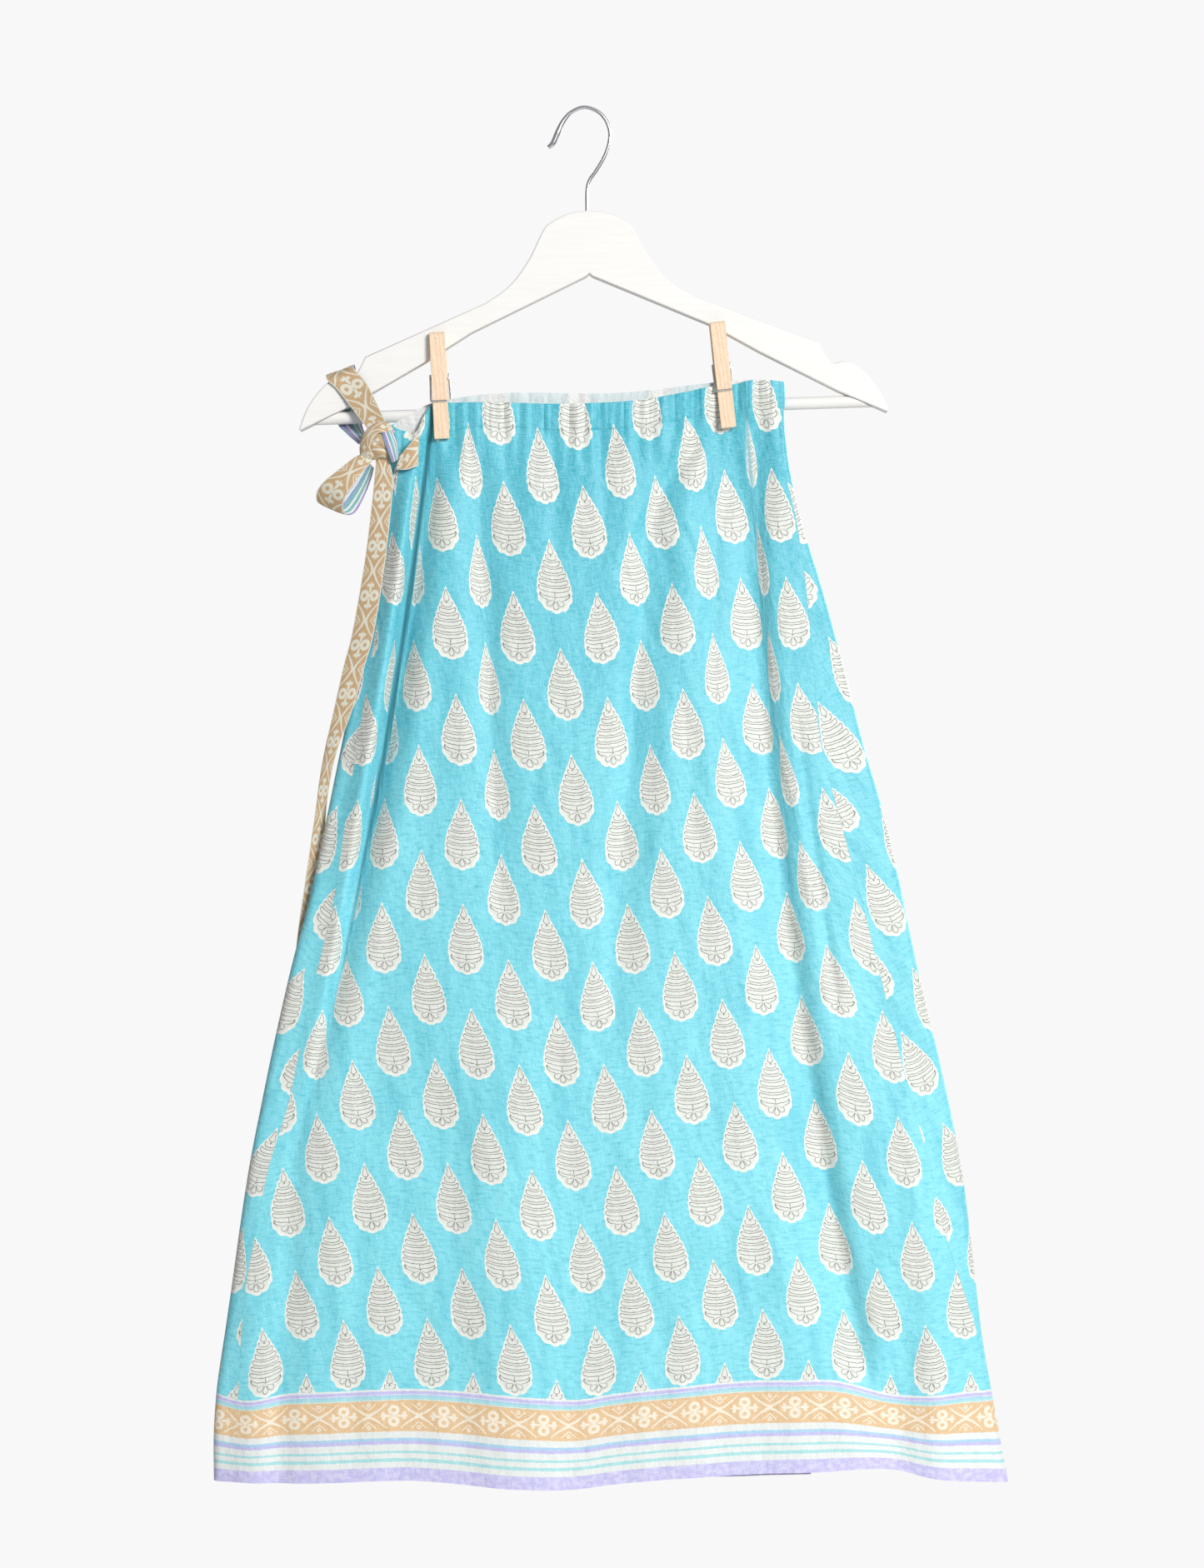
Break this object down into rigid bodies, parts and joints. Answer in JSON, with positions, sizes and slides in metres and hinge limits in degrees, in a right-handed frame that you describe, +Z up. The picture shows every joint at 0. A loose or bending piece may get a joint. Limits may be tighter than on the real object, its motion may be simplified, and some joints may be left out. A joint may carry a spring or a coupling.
{
  "type": "wrap skirt on clothes hanger",
  "caption": "Mid-calf wrap skirt with a gathered waistband and a side tie, pegged to the bar of a wooden hanger.",
  "frame": {"origin": "inner top of the hanger's hook, where a rail bears on it", "axes": "+Z up, +Y towards the back of the skirt, so that the skirt faces -Y, and +X to its right as seen from the front"},
  "size_m": [0.5794, 0.0505, 1.0043],
  "materials": {
    "turquoise_print": "fine slubby cotton-silk with a soft sheen, printed",
    "strap_print": "printed cotton-silk strap, two layers",
    "painted_wood": "white satin paint",
    "birch": "bare wood",
    "chrome": "polished wire"
  },
  "bodies": {
    "root": {"skirt_front": "turquoise_print", "skirt_back": "turquoise_print", "skirt_underlap": "turquoise_print", "waistband_front": "turquoise_print", "waistband_back": "turquoise_print", "tie_loop": "strap_print", "tie_bow_left": "strap_print", "tie_bow_right": "strap_print", "tie_knot_wrap": "strap_print", "tie_tail": "strap_print", "tie_knot": "strap_print", "hanger_wood": "painted_wood", "hanger_bar": "painted_wood", "hanger_hook": "chrome", "peg_left_front": "birch", "peg_left_back": "birch", "peg_left_spring": "chrome", "peg_right_front": "birch", "peg_right_back": "birch", "peg_right_spring": "chrome"}
  },
  "joints": []
}
